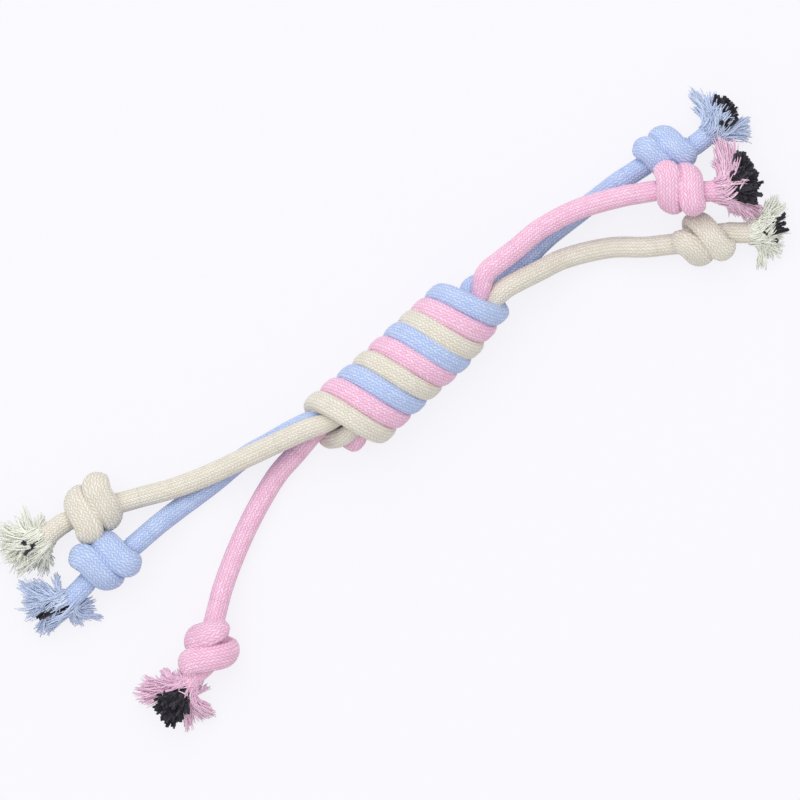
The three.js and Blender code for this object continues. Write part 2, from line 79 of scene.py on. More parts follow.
def placeCamera(settings):
    camera = addThing("photoCamera", bpy.data.cameras.new("photoCamera"))
    x, y = (a + b for a, b in zip(settings["barrelCentre"], settings["middle"]))
    camera.location = (x * mm, y * mm, settings["distance"] * mm)
    camera.rotation_euler = (0, 0, -settings["turn"] * degree)
    camera.data.sensor_width = settings["sensor"]
    camera.data.lens = settings["sensor"] * settings["distance"] / settings["width"]
    camera.data.clip_end = settings["farthest"]
    bpy.context.scene.camera = camera


placeCamera(cameraView)
print("camera placed")

# Sizes of the rope and its winding in mm, as in the CAD source but with fuller strands inside the barrel
rope = {
    "diameter": 9, "core": 5, "footCut": 0.9, "opened": 1.04,
    "turns": 3, "turnStrand": 8.3, "turnWidth": 9.35, "pitch": 9.13,
    "inner": 5.2, "innerRing": 6.4, "slack": 0.6, "pressed": 7.2,
    "mouthPull": 0.45, "tailPull": 0.35, "tailFrom": 0.2,  # shares of the way between two points
    "stepsPerTurn": 24, "innerSteps": 12, "bendSteps": 6,
}
# Sizes of an end knot in mm, close to the CAD source's, with a fuller band; its lag is in degrees
knot = {
    "pitch": 12.4, "wide": 9.2, "deep": 7.9, "spread": 3.3, "lag": 4,
    "leave": 8.8, "enter": 9, "inset": -0.2, "rimPull": 3, "insidePull": 4, "steps": 16,
    "band": 12.3, "thickness": 8.2, "pressed": 6.4,
    "squeeze": 0.96, "shear": -0.28, "height": 10.6,
}
free, squeezed, inKnot = ((size, size) for size in (rope["diameter"], rope["pressed"], knot["pressed"]))
lead = len(ropeNames) * rope["pitch"]
barrelHalf = rope["turns"] * lead / 2
windingRadius = rope["innerRing"] + rope["inner"] / 2 + rope["slack"] + rope["turnStrand"] / 2
axisHeight = windingRadius + rope["turnStrand"] / 2 - rope["footCut"]

# Angles of each rope's two inner runs at the left mouth, in the middle and at the right mouth, and the half
# where a run crosses the barrel: -1 left, 1 right, 0 neither
innerRuns = {
    "cream": (((60, -75, -90), -1), ((120, 105, 150), 0)),
    "pink": (((-60, -15, -30), 0), ((180, 165, 90), 1)),
    "blue": (((0, 45, 30), 0), ((240, 225, 210), 0)),
}
# How each rope turns back at a mouth: degrees round the barrel, pulls of the bend and how far in it ends
turnBacks = (
    {"sweep": 128.6, "leave": 6, "enter": 10.8, "inset": -2.4},
    {"sweep": 63.9, "leave": 7.1, "enter": 5.6, "inset": -1.4},
    {"sweep": 75.5, "leave": 13.8, "enter": 2.4, "inset": -7.7},
)

# How an end knot lies where its tail doesn't say
usual = {"mirrored": False, "size": 1, "roll": 0, "height": 0}
# Points of each tail from the barrel's mouth and the lie of its end knot, in mm from the barrel's centre:
# "into" and "out" are where the rope passes before and after the knot, "heading" and "roll" turn its wraps,
# and past it the braid goes on for "stub" towards "end"
tails = {
    ("left", "cream"): {
        "points": ((-67.2, 13.1, 22.2), (-81, 17.4, 18), (-101, 23.7, 14.2), (-115, 29.3, 11.4)),
        "place": (-146, 46), "heading": (-0.95, -0.29), "mirrored": True,
        "into": ((-128, 36), (-137.5, 41)), "out": ((-160.5, 50), (-167, 50.5)),
        "stub": 5, "end": (-1, -0.05, 0.12),
    },
    ("left", "pink"): {
        "points": ((-63.3, 4.6, 8.7), (-77, 3, 5), (-96, -2.8, 5), (-114, -10.4, 5.6)),
        "place": (-149, -33.5), "heading": (-0.87, -0.49), "size": 0.94, "roll": 35,
        "into": ((-132.5, -20.7), (-141, -26.3)), "out": ((-163.5, -37.6), (-168.5, -38.9)),
        "stub": 1, "end": (-1, -0.15, 0.3),
    },
    ("left", "blue"): {
        "points": ((-68.4, 15.2, 11.5), (-82, 18.2, 5), (-101, 19.2, 5), (-119, 20.9, 5.6)),
        "place": (-157.3, 25.7), "heading": (-0.885, 0.465),
        "into": ((-135, 21.9), (-144.5, 22.2)), "out": ((-171, 23.9), (-178, 23.5)),
        "stub": 4.5, "end": (-1, -0.05, 0.06),
    },
    ("right", "cream"): {
        "points": ((64.1, -7, 17.4), (79, -11.3, 9.6), (97, -21.2, 6.8)),
        "place": (128.7, -44.6), "heading": (0.85, -0.525), "size": 0.9, "roll": 35,
        "into": ((112.2, -34.1), (120, -39.8)), "out": ((141, -52.3), (147, -57.8)),
        "stub": 1.5, "end": (0.8, -0.5, 0.1),
    },
    ("right", "pink"): {
        "points": ((64.7, 6.1, 23.1), (79, 5.4, 18.6), (97, 0.8, 19.4)),
        "place": (135.9, -22.2), "heading": (0.34, -0.94), "size": 0.9, "height": 12,
        "into": ((120, -11.1), (127.5, -15.8)), "out": ((143, -30.5), (148, -34.6)),
        "stub": 1, "end": (0.75, -0.62, -0.1),
    },
    ("right", "blue"): {
        "points": ((62.4, -0.5, 10), (79, 0.6, 5), (97, -0.6, 5), (110, -1.6, 5.6)),
        "place": (142.3, -6.3), "heading": (0.875, -0.485), "size": 0.89,
        "into": ((123, -3.1), (131.5, -4.5)), "out": ((153.5, -12.6), (162.5, -13.3)),
        "stub": 1.5, "end": (1, -0.05, 0.1),
    },
}


def smooth(share, low=0.0, high=1.0):
    # 0 below low, 1 above high, and a cubic ease between them
    t = np.clip((np.asarray(share, float) - low) / (high - low), 0, 1)
    return t * t * (3 - 2 * t)


def unit(vectors):
    return vectors / np.maximum(np.linalg.norm(vectors, axis=-1, keepdims=True), 1e-12)


def around(x, radius, angle):
    # point at a radius round the x axis, its angle running from +Y towards +Z
    return np.stack(np.broadcast_arrays(x, radius * np.cos(angle), radius * np.sin(angle)), -1)


def bezier(t, start, early, late, end):
    return (1 - t) ** 3 * start + 3 * (1 - t) ** 2 * t * early + 3 * (1 - t) * t ** 2 * late + t ** 3 * end


def bend(start, startPull, end, endPull, steps):
    # cubic Bezier curve without its two ends
    t = np.linspace(0, 1, steps + 1)[1:-1, None]
    return bezier(t, start, start + startPull, end - endPull, end)


def linked(routes):
    return {key: np.concatenate([route[key] for route in routes]) for key in routes[0]}


def joined(parts):
    # a route from stretches of points, each with its first and last section, outward directions and the
    # share of it over which the section changes
    routes = []
    for stretch, first, last, out, *change in parts:
        share = smooth(np.linspace(0, 1, len(stretch)) if len(stretch) > 1 else np.ones(1), *change)[:, None]
        routes.append({"points": stretch, "sections": np.array(first) * (1 - share) + np.array(last) * share,
                       "outward": np.full((len(stretch), 3), np.nan) if out is None else out})
    return linked(routes)


def innerRun(run, start, end):
    # the angle eases from place to place; a run that crosses dips to the axis in that half instead
    places, through = run
    share = np.linspace(0, 1, rope["innerSteps"] + 1)
    half = np.where(share < 0.5, -1, 1)
    local = np.where(share < 0.5, share * 2, share * 2 - 1)
    first = np.where(half < 0, places[0], places[1])
    last = np.where(half < 0, places[1], places[2])
    crosses = half == through
    swing = np.where(crosses, local >= 0.5, smooth(local, 1 / 3, 2 / 3))
    inward = smooth(local, 0, 1 / 3) - smooth(local, 2 / 3, 1)
    radius = np.where(crosses, rope["innerRing"] * (1 - inward), rope["innerRing"])
    x = np.where(half < 0, start * (1 - local), end * local)
    return around(x, radius, (first + (last - first) * swing) * degree)


# How the outermost strand draws in towards the mouth over its last part of a turn: mm, share and degrees
drawnIn = {"inward": 3, "radius": 0.92, "over": 100}


def drawIn(points, share):
    # points near a mouth move along the barrel towards its middle and nearer to its axis
    moved = points.copy()
    moved[..., 0] -= np.sign(points[..., 0]) * drawnIn["inward"] * share
    moved[..., 1:] *= (1 - (1 - drawnIn["radius"]) * np.asarray(share))[..., None]
    return moved


# The barrel is fuller at its left end. To its right its turns lie closer, narrower and further over, and at
# its left mouth the turn-backs lie closer in. The pairs are where a change comes in and goes out, in mm
uneven = {
    "fuller": 0.08, "narrower": 0.13, "over": 2.4, "closer": (2.4, 0.035),
    "left": (-0.5, 7), "up": 6.4, "hump": 2.8,
    "outer": (6, 12), "leftEnd": ((-58, -50), (-44, -20)), "rightEnd": ((15, 46), (48, 60)),
    "closing": ((2, 26), (48, 64)), "loops": ((-64, -54), (-52, -40)),
    "loopsLow": (-1, 4), "loopsFar": (5, 10),
    "humpAlong": ((38, 41), (46, 50)), "humpAcross": (0, 2), "humpUp": ((-8, -5.5), (2, 5)),
}


def within(values, rise, fall):
    # eases from 0 to 1 over rise and back over fall
    return smooth(values, *rise) * (1 - smooth(values, *fall))


def settled(points):
    # points of an even winding, moved by what is uneven about it
    x, y, z = points.T
    outer = smooth(np.hypot(y, z), *uneven["outer"])
    left, right = within(x, *uneven["leftEnd"]), within(x, *uneven["rightEnd"])
    loops = within(x, *uneven["loops"]) * smooth(-y, *uneven["loopsLow"])
    hump = within(x, *uneven["humpAlong"]) * smooth(y, *uneven["humpAcross"]) * within(z, *uneven["humpUp"])
    near, far = uneven["left"]
    closer, lean = uneven["closer"]
    moved = points.copy()
    moved[:, 1:] *= (1 + uneven["fuller"] * left - uneven["narrower"] * right)[:, None]
    moved[:, 0] += loops * (near + far * smooth(-y, *uneven["loopsFar"]))
    moved[:, 0] -= (closer + lean * y) * within(x, *uneven["closing"])
    moved[:, 1] += uneven["up"] * loops + uneven["over"] * right * outer + uneven["hump"] * hump
    return moved


def wound(rank, angle):
    # places on a rope's turns, of which the first passes over the barrel's top at the crossing
    crossing = -barrelHalf + rope["pitch"] * (rank + 0.5)
    return around(crossing + lead * (angle - math.pi / 2) / (2 * math.pi), windingRadius, angle)


def turnBack(rank, place):
    # bend at the left mouth from the winding into an inner run, and the angle where the winding ends
    bendOf = turnBacks[rank]
    entry = (place - 360) * degree
    angle = entry + bendOf["sweep"] * degree
    start = wound(rank, angle)
    if rank == 0:
        start = drawIn(start, 1)
    slope = lead / (2 * math.pi * windingRadius)
    heading = unit(np.array([-slope, math.sin(angle), -math.cos(angle)]))
    end = around(-barrelHalf + rope["inner"] - bendOf["inset"], rope["innerRing"], entry)
    pull = np.array([bendOf["enter"], 0, 0])
    return bend(start, heading * bendOf["leave"], end, pull, rope["bendSteps"]), angle


def mouth(side, name, start):
    # way out of a mouth, to where the tail starts
    sign = -1 if side == "left" else 1
    lift = np.array([0, 0, axisHeight])
    first = np.array(tails[side, name]["points"][0]) - lift
    heading = unit(np.array(tails[side, name]["points"][1]) - lift - first)
    end = first - heading * rope["diameter"]
    span = np.linalg.norm(end - start)
    pull = np.array([sign * span * rope["mouthPull"], 0, 0])
    bent = bend(start, pull, end, heading * span * rope["tailPull"], rope["bendSteps"])
    return np.concatenate([bent, [end, first]])


def windingRoute(name):
    # in at the left mouth, along the inside, back in turns over the outside, and along the inside again
    rank = ropeNames.index(name)
    rightRank = len(ropeNames) - 1 - rank
    first, second = innerRuns[name]
    leftPoints, leftAngle = turnBack(rank, second[0][0])
    rightPoints, rightTurn = turnBack(rightRank, 180 - first[0][2])
    rightPoints = (rightPoints * [-1, -1, 1])[::-1]
    rightAngle = 2 * math.pi * (rope["turns"] - 1) + math.pi - rightTurn
    steps = round((rightAngle - leftAngle) / (2 * math.pi) * rope["stepsPerTurn"])
    angle = np.linspace(rightAngle, leftAngle, steps + 1)
    helix = wound(rank, angle)
    over = drawnIn["over"] * degree
    if rank == 0:
        helix = drawIn(helix, 1 - smooth(angle, leftAngle, leftAngle + over))
    if rightRank == 0:
        helix = drawIn(helix, smooth(angle, rightAngle - over, rightAngle))
    reach = barrelHalf - rope["inner"]
    firstRun = innerRun(first, -reach, reach + turnBacks[rightRank]["inset"])
    secondRun = innerRun(second, -reach - turnBacks[rank]["inset"], reach)
    turn = (rope["turnWidth"], rope["turnStrand"])
    route = joined([
        (mouth("left", name, firstRun[0])[::-1], free, squeezed, None, 0.5, 1),
        (firstRun, squeezed, squeezed, None),
        (rightPoints, squeezed, turn, None, 0, 0.6),
        (helix, turn, turn, around(0, 1, angle)),
        (leftPoints, turn, squeezed, None, 0.4, 1),
        (secondRun, squeezed, squeezed, None),
        (mouth("right", name, secondRun[-1]), squeezed, free, None, 0, 0.5),
    ])
    route["points"] = settled(route["points"])
    return route


def knotWraps():
    # from one inner run, back over both in one turn, and into the other inner run, round the x axis
    half = knot["pitch"] / 2
    lag = knot["lag"] * degree
    angle = np.linspace(1.5 * math.pi - lag, -0.5 * math.pi + lag, knot["steps"] + 1)
    along = knot["pitch"] * (angle - math.pi / 2) / (2 * math.pi)
    helix = np.stack([along, knot["wide"] * np.cos(angle), knot["deep"] * np.sin(angle)], -1)
    heading = unit(helix[-1] - helix[-2])
    inside = np.array([-half + knot["inset"], -knot["spread"], 0])
    entering = np.array([knot["enter"], 0, 0])
    left = bend(helix[-1], heading * knot["leave"], inside, entering, rope["bendSteps"])
    right = (left * [-1, -1, 1])[::-1]
    band = (knot["band"], knot["thickness"])
    return joined([
        ((inside * [1, -1, 1])[None], inKnot, inKnot, None), (right, inKnot, band, None, 0, 0.7),
        (helix, band, band, around(0, 1, angle)), (left, band, inKnot, None, 0.3, 1),
        (np.stack([inside, inside * [-1, 1, 1]]), inKnot, inKnot, None),
    ])


def turnedAboutZ(vectors, angle):
    x, y, z = vectors.T
    cos, sin = math.cos(angle), math.sin(angle)
    return np.stack([x * cos - y * sin, x * sin + y * cos, z], -1)


def placedKnot(tail):
    # the wraps rolled, sheared, mirrored or not, scaled and turned, with the ways in and out
    wraps = knotWraps()
    points, outward = wraps["points"], wraps["outward"]
    roll = tail["roll"] * degree
    turn = np.array([[math.cos(roll), math.sin(roll)], [-math.sin(roll), math.cos(roll)]])
    halves = np.array([knot["wide"], knot["deep"]])
    points[:, 1:] = points[:, 1:] / halves @ turn * halves
    outward[:, 1:] = outward[:, 1:] @ turn
    points[:, 0] = points[:, 0] * knot["squeeze"] - knot["shear"] * points[:, 1]
    flip = np.array([1, 1 if tail["mirrored"] else -1, -1])
    base = math.atan2(tail["heading"][1], tail["heading"][0])
    height = knot["height"] + tail["height"]
    wraps["points"] = turnedAboutZ(points * flip * tail["size"], base) + [*tail["place"], height]
    wraps["outward"] = turnedAboutZ(outward * flip, base)
    wraps["sections"] = wraps["sections"] * tail["size"]
    ahead = np.array([math.cos(base), math.sin(base), 0])
    first, rim = (np.array([*spot, height]) for spot in tail["into"])
    rimPull, insidePull, steps = knot["rimPull"], ahead * knot["insidePull"], 4
    into = bend(rim, unit(rim - first) * rimPull, wraps["points"][0], insidePull, steps)
    lastRim, last = (np.array([*spot, height]) for spot in tail["out"])
    out = bend(wraps["points"][-1], insidePull, lastRim, unit(last - lastRim) * rimPull, steps)
    inner = np.array(inKnot) * tail["size"]
    return linked([joined([(np.concatenate([[first, rim], into]), free, inner, None, 0.45, 1)]), wraps,
                   joined([(np.concatenate([out, [lastRim, last]]), inner, free, None, 0, 0.55)])])


def tailRoute(tail, knotPoints):
    # from past the tail's first point, which the mouth's route holds, to half a diameter before the knot's
    points = np.array(tail["points"], float)
    back = unit(knotPoints[0] - knotPoints[1])
    second = points[0] * (1 - rope["tailFrom"]) + points[1] * rope["tailFrom"]
    stretch = np.concatenate([[second], points[1:], [knotPoints[0] + back * rope["diameter"] / 2]])
    return joined([(stretch, free, free, None)])


def stubRoute(tail, start):
    # the last of the braid, which opens a little before it frays
    heading = unit(np.array(tail["end"], float))
    points = start + heading * tail["stub"] * np.array([0.5, 1.0])[:, None]
    return joined([(points, free, np.array(free) * rope["opened"], None)])


def sampled(places, known, values):
    return np.stack([np.interp(places, known, column) for column in values.T], -1)


def smoothLine(route, samples=12):
    # centripetal Catmull-Rom through all points; sections and outward directions are blended along it
    points = route["points"]
    padded = np.concatenate([[2 * points[0] - points[1]], points, [2 * points[-1] - points[-2]]])
    knots = np.concatenate([[0], np.cumsum(np.sqrt(np.linalg.norm(np.diff(padded, axis=0), axis=1)))])
    a, b, c, d = (padded[k:len(padded) - 3 + k] for k in range(4))
    ta, tb, tc, td = (knots[k:len(knots) - 3 + k, None] for k in range(4))
    rows = []
    for share in np.arange(samples) / samples:
        t = tb + (tc - tb) * share
        ab = (a * (tb - t) + b * (t - ta)) / (tb - ta)
        bc = (b * (tc - t) + c * (t - tb)) / (tc - tb)
        cd = (c * (td - t) + d * (t - tc)) / (td - tc)
        abc = (ab * (tc - t) + bc * (t - ta)) / (tc - ta)
        bcd = (bc * (td - t) + cd * (t - tb)) / (td - tb)
        rows.append((abc * (tc - t) + bcd * (t - tb)) / (tc - tb))
    line = np.concatenate([np.stack(rows, 1).reshape(-1, 3), points[-1:]])
    position = np.arange(len(line)) / samples
    at = np.arange(len(points))
    return line, sampled(position, at, route["sections"]), sampled(position, at, route["outward"]), samples


def travelled(line):
    return np.concatenate([[0], np.cumsum(np.linalg.norm(np.diff(line, axis=0), axis=1))])


def wholeRope(name):
    # one rope from its left tip to its right tip, with the places along it where the pieces meet
    knots = {side: placedKnot(usual | tails[side, name]) for side in bothSides}
    winding = windingRoute(name)
    winding["points"] = winding["points"] + [0, 0, axisHeight]
    stretches = {side: tailRoute(tails[side, name], knots[side]["points"]) for side in bothSides}
    stubs = {side: stubRoute(tails[side, name], knots[side]["points"][-1]) for side in bothSides}
    order = [{key: values[::-1] for key, values in part["left"].items()}
             for part in (stubs, knots, stretches)]
    order += [winding, stretches["right"], knots["right"], stubs["right"]]
    counts = np.cumsum([len(part["points"]) for part in order])
    # knots and the winding reach from their first point to their last, and the rest take the gaps between
    ends = [0, counts[0], counts[1] - 1, counts[2], counts[3] - 1, counts[4], counts[5] - 1, counts[6] - 1]
    line, sections, outward, samples = smoothLine(linked(order))
    along = travelled(line)
    return {"line": line, "sections": sections, "outward": outward, "along": along,
            "ends": [along[end * samples] for end in ends]}


# How finely the rope's surface is worked out, and its braid
braid = {
    "columns": 18,  # rows of stitches round the rope
    "row": 1.6,  # mm from one stitch to the next along it
    "cornersPerColumn": 4,
    "step": 0.42,  # mm between rings
    "relief": 0.23,  # mm that a stitch stands out
    "round": 1.9, "blunt": 3, "level": 0.65,  # its form across and along, and the height taken off it
    "tilt": 1.05,
    "tuck": 0.02, "tuckOver": 0.9,  # mm that a tail's ends are drawn in, and over what length
}
# The rope is boxier than an oval in the turns and rounder in the knots' bands: by how much, and between
# which ratios of width to thickness
pressing = {"boxier": 0.7, "turns": (1.02, 1.12), "rounder": 0.75, "bands": (1.25, 1.45)}
# How the rope flattens on the table: what is below the first height is pressed towards the second
table = {"low": 0.25, "least": 0.02, "over": 1.2, "kept": 0.9}


def ringed(whole):
    # evenly spaced rings along the rope, with frames that turn as little as possible
    parts = []
    for first, last in zip(whole["ends"], whole["ends"][1:]):
        count = max(int(round((last - first) / braid["step"])), 2)
        parts.append(np.linspace(first, last, count + 1)[:-1])
    places = np.concatenate([*parts, [whole["ends"][-1]]])
    cuts = np.concatenate([[0], np.cumsum([len(part) for part in parts])])
    line, sections, outward = (sampled(places, whole["along"], whole[key])
                               for key in ("line", "sections", "outward"))
    ahead = unit(np.gradient(line, axis=0))
    side = np.empty_like(line)
    side[0] = unit(np.array([0, 0, 1]) - ahead[0] * ahead[0, 2])
    for i in range(1, len(line)):
        step = line[i] - line[i - 1]
        length = step @ step
        carried = side[i - 1] - 2 / length * (step @ side[i - 1]) * step
        direction = ahead[i - 1] - 2 / length * (step @ ahead[i - 1]) * step
        change = ahead[i] - direction
        side[i] = carried - 2 / max(change @ change, 1e-12) * (change @ carried) * change
    side = unit(side - ahead * (side * ahead).sum(1, keepdims=True))
    other = np.cross(ahead, side)
    # a ring without an outward direction takes that of the nearest ring with one
    index = np.arange(len(line))
    known = index[np.isfinite(outward[:, 0])]
    following = np.searchsorted(known, index)
    before, after = known[np.maximum(following - 1, 0)], known[np.minimum(following, len(known) - 1)]
    pick = np.where(index - before < after - index, before, after)
    out = outward[pick]
    psi = np.arctan2((out * other[pick]).sum(1), (out * side[pick]).sum(1))
    return {"places": places, "line": line, "sections": sections, "side": side, "other": other,
            "ahead": ahead, "psi": psi, "cuts": cuts}


def stitchHeight(u, v):
    # u counts columns and v rows; a stitch is a rounded bump whose lean alternates from column to column
    column = np.floor(u)
    x = u - column - 0.5
    odd = np.mod(column, 2)
    y = np.mod(v + 0.5 * odd + braid["tilt"] * x * (1 - 2 * odd), 1) - 0.5
    return np.sqrt(np.clip(1 - (braid["round"] * x) ** 2, 0, 1)) * (1 - np.abs(2 * y) ** braid["blunt"])


def outwardAt(angle, side, other):
    # directions at the angles round each place of a line
    return np.cos(angle)[:, None] * side[..., None, :] + np.sin(angle)[:, None] * other[..., None, :]


def ropeSurface(rings, first, last, tuck):
    # rings of points round the line at an oval's radius plus the stitches' height, pressed flat on the table
    corners = braid["columns"] * braid["cornersPerColumn"]
    rows = slice(first, last + 1)
    angle = 2 * math.pi * np.arange(corners) / corners
    psi = rings["psi"][rows, None]
    width, thickness = rings["sections"][rows, 0, None] / 2, rings["sections"][rows, 1, None] / 2
    ratio = width / thickness
    power = (2 + pressing["boxier"] * smooth(ratio, *pressing["turns"])
             - pressing["rounder"] * smooth(ratio, *pressing["bands"]))
    through, across = np.abs(np.cos(angle - psi) / thickness), np.abs(np.sin(angle - psi) / width)
    radius = (through ** power + across ** power) ** (-1 / power)
    u = np.broadcast_to(np.arange(corners) / braid["cornersPerColumn"], radius.shape)
    v = np.broadcast_to(rings["places"][rows, None] / braid["row"], radius.shape)
    squeeze = np.sqrt(width * thickness) / (rope["diameter"] / 2)
    height = (stitchHeight(u + 1e-6, v) - braid["level"]) * braid["relief"] * squeeze
    place = rings["places"][rows]
    fromEnd = np.minimum(place - place[0], place[-1] - place)
    shrink = tuck * (1 - smooth(fromEnd, 0, braid["tuckOver"]))[:, None]
    radius = (radius + height - shrink)[..., None]
    ring = outwardAt(angle, rings["side"][rows], rings["other"][rows])
    surface = rings["line"][rows, None] + radius * ring
    low, z = table["low"], surface[..., 2]
    flat = low * np.exp(np.minimum(z - low, 0) / table["over"]) * table["kept"] + table["least"]
    surface[..., 2] = np.where(z > low, z, flat)
    return surface, v[:, 0]


def meshOf(name, points, loops, starts, rounded, layer, uv):
    # a mesh of faces given by their corners, the first of them shaded smooth, with its UV
    mesh = bpy.data.meshes.new(name)
    mesh.vertices.add(len(points))
    mesh.vertices.foreach_set("co", points.astype(np.float32).ravel() * mm)
    mesh.loops.add(len(loops))
    mesh.loops.foreach_set("vertex_index", loops.astype(np.int32))
    mesh.polygons.add(len(starts))
    mesh.polygons.foreach_set("loop_start", starts.astype(np.int32))
    mesh.polygons.foreach_set("use_smooth", np.arange(len(starts)) < rounded)
    mesh.uv_layers.new(name=layer).data.foreach_set("uv", uv.astype(np.float32).ravel())
    mesh.update(calc_edges=True)
    mesh.validate()
    return mesh


def gridMesh(name, surface, rowValues):
    # closed tube of quads through rings of points, with a UV that counts columns and rows of stitches
    rows, columns = surface.shape[:2]
    index = np.arange(rows * columns).reshape(rows, columns)
    right = np.roll(index, -1, axis=1)
    quads = np.stack([index[:-1], right[:-1], right[1:], index[1:]], -1).reshape(-1, 4)
    u, v = np.arange(columns + 1) / braid["cornersPerColumn"], rowValues[:, None]
    left, nextEdge, low, high = np.broadcast_arrays(u[:-1], u[1:], v[:-1], v[1:])
    uv = np.stack([left, low, nextEdge, low, nextEdge, high, left, high], -1).reshape(-1, 2)
    loops = np.concatenate([quads.ravel(), index[0][::-1], index[-1]])
    starts = np.concatenate([np.arange(len(quads)) * 4, len(quads) * 4 + np.array([0, columns])])
    uv = np.concatenate([uv, np.zeros((2 * columns, 2))])
    return meshOf(name, surface.reshape(-1, 3), loops, starts, len(quads), "stitches", uv)


def addPiece(name, mesh, material, node):
    piece = addThing(name, mesh)
    mesh.materials.append(material)
    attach(piece, "root")
    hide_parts(node)
    return piece


# From places measured from the barrel's centre to the frame, in mm
shift = np.array([*cameraView["barrelCentre"], 0.0])

# Colours as the eye sees them, 0 to 255; on the ropes "deep" is painted shade and "light" painted highlight
colours = {
    "blue": {"light": (208, 220, 247), "base": (181, 201, 240), "deep": (146, 167, 212)},
    "pink": {"light": (250, 219, 236), "base": (242, 190, 218), "deep": (215, 151, 186)},
    "cream": {"light": (238, 234, 225), "base": (227, 221, 208), "deep": (195, 187, 169)},
    "blueYarn": {"light": (236, 242, 254), "base": (209, 223, 249), "deep": (183, 200, 234)},
    "pinkYarn": {"light": (253, 234, 246), "base": (247, 210, 232), "deep": (228, 180, 211)},
    "creamYarn": {"light": (252, 252, 245), "base": (247, 248, 238), "deep": (235, 237, 224)},
    "black": {"light": (88, 82, 100), "base": (30, 27, 36), "deep": (8, 6, 12)},
}


def linear(colour):
    # from the eye's scale to the renderer's
    share = np.array(colour) / 255
    value = np.where(share <= 0.04045, share / 12.92, ((share + 0.055) / 1.055) ** 2.4)
    return (*value.tolist(), 1.0)


def feed(tree, socket, value):
    # a socket takes a fixed value or another node's output
    if isinstance(value, bpy.types.NodeSocket):
        tree.links.new(value, socket)
    else:
        socket.default_value = value


def addNode(tree, kind, **inputs):
    node = tree.nodes.new(kind)
    for label, value in inputs.items():
        feed(tree, node.inputs[label], value)
    return node


def maths(tree, operation, *values):
    node = tree.nodes.new("ShaderNodeMath")
    node.operation = operation
    for socket, value in zip(node.inputs, values):
        feed(tree, socket, value)
    return node.outputs[0]


def mixColours(tree, factor, first, second):
    node = tree.nodes.new("ShaderNodeMix")
    node.data_type = "RGBA"
    for place, value in ((0, factor), (6, first), (7, second)):
        feed(tree, node.inputs[place], value)
    return node.outputs[2]


# How the cloth takes light, with each kind's roughness and sheen, and what varies over it; depths are in m
cloth = {
    "braid": (0.62, 0.25), "yarn": (0.65, 0.3), "core": (0.8, 0.15),
    "always": {"Sheen Roughness": 0.45, "Specular IOR Level": 0.35},
    # "stitch" and "patch" are shares of the painted highlight on the stitches' crowns
    "stitch": 0.65, "patch": 0.4, "patchScale": 55.0, "patchDetail": 3.0,
    "tone": 0.6, "fibre": 0.5, "fibreScale": (26, 3, 1), "lightFrom": 0.45, "lightBy": 1.4,
    "bump": 0.5, "stitchDepth": 0.0003, "fibreDepth": 0.0002,
    "lineScale": (9.0, 1.6), "linesApart": 3.7, "lineHeight": 0.45, "lineShade": 0.9,
}


def stitchGroup():
    # the same stitches as the mesh has, with their yarns and a value for each stitch
    group = bpy.data.node_groups.new("braidStitches", "ShaderNodeTree")
    into, out = group.nodes.new("NodeGroupInput"), group.nodes.new("NodeGroupOutput")
    group.interface.new_socket(name="UV", in_out="INPUT", socket_type="NodeSocketVector")
    for label in ("Height", "Shade", "Stitch"):
        group.interface.new_socket(name=label, in_out="OUTPUT", socket_type="NodeSocketFloat")
    calc = functools.partial(maths, group)
    u, v, _ = addNode(group, "ShaderNodeSeparateXYZ", Vector=into.outputs["UV"]).outputs
    column = calc("FLOOR", u)
    x = calc("SUBTRACT", calc("SUBTRACT", u, column), 0.5)
    odd = calc("MODULO", column, 2.0)
    way = calc("SUBTRACT", 1.0, calc("MULTIPLY", odd, 2.0))
    lean = calc("MULTIPLY", calc("MULTIPLY", x, way), braid["tilt"])
    along = calc("ADD", calc("ADD", v, calc("MULTIPLY", odd, 0.5)), lean)
    row = calc("FLOOR", along)
    y = calc("SUBTRACT", calc("SUBTRACT", along, row), 0.5)
    wide = calc("POWER", calc("ABSOLUTE", calc("MULTIPLY", x, 2.0)), 2.0)
    long = calc("POWER", calc("ABSOLUTE", calc("MULTIPLY", y, 2.0)), 3.0)
    crown = calc("SQRT", calc("MAXIMUM", calc("SUBTRACT", 1.0, wide), 0.0))
    height = calc("MULTIPLY", crown, calc("SUBTRACT", 1.0, long))
    cell = addNode(group, "ShaderNodeCombineXYZ", X=column, Y=row)
    value = addNode(group, "ShaderNodeTexWhiteNoise", Vector=cell.outputs[0])
    value.noise_dimensions = "2D"
    # yarns run along the stitch: fine lines across x, long along y, apart from column to column
    apart = calc("ADD", x, calc("MULTIPLY", column, cloth["linesApart"]))
    yarn = addNode(group, "ShaderNodeCombineXYZ", X=calc("MULTIPLY", apart, cloth["lineScale"][0]),
                   Y=calc("MULTIPLY", along, cloth["lineScale"][1]))
    lines = addNode(group, "ShaderNodeTexNoise", Scale=1.0, Detail=2.0, Vector=yarn.outputs[0])
    fine = calc("SUBTRACT", lines.outputs[0], 0.5)
    # painted shade: deepest between the stitches, with the yarns' fine lines in it
    shade = calc("ADD", height, calc("MULTIPLY", fine, cloth["lineShade"]))
    feed(group, out.inputs["Height"], calc("ADD", height, calc("MULTIPLY", fine, cloth["lineHeight"])))
    feed(group, out.inputs["Shade"], calc("MINIMUM", calc("MAXIMUM", shade, 0.0), 1.0))
    feed(group, out.inputs["Stitch"], value.outputs["Value"])
    return group


stitches = stitchGroup()


def principled(name, roughness, sheen):
    material = bpy.data.materials.new(name)
    material.use_nodes = True
    shader = material.node_tree.nodes["Principled BSDF"]
    for label, value in {"Roughness": roughness, "Sheen Weight": sheen, **cloth["always"]}.items():
        shader.inputs[label].default_value = value
    return material, material.node_tree, shader


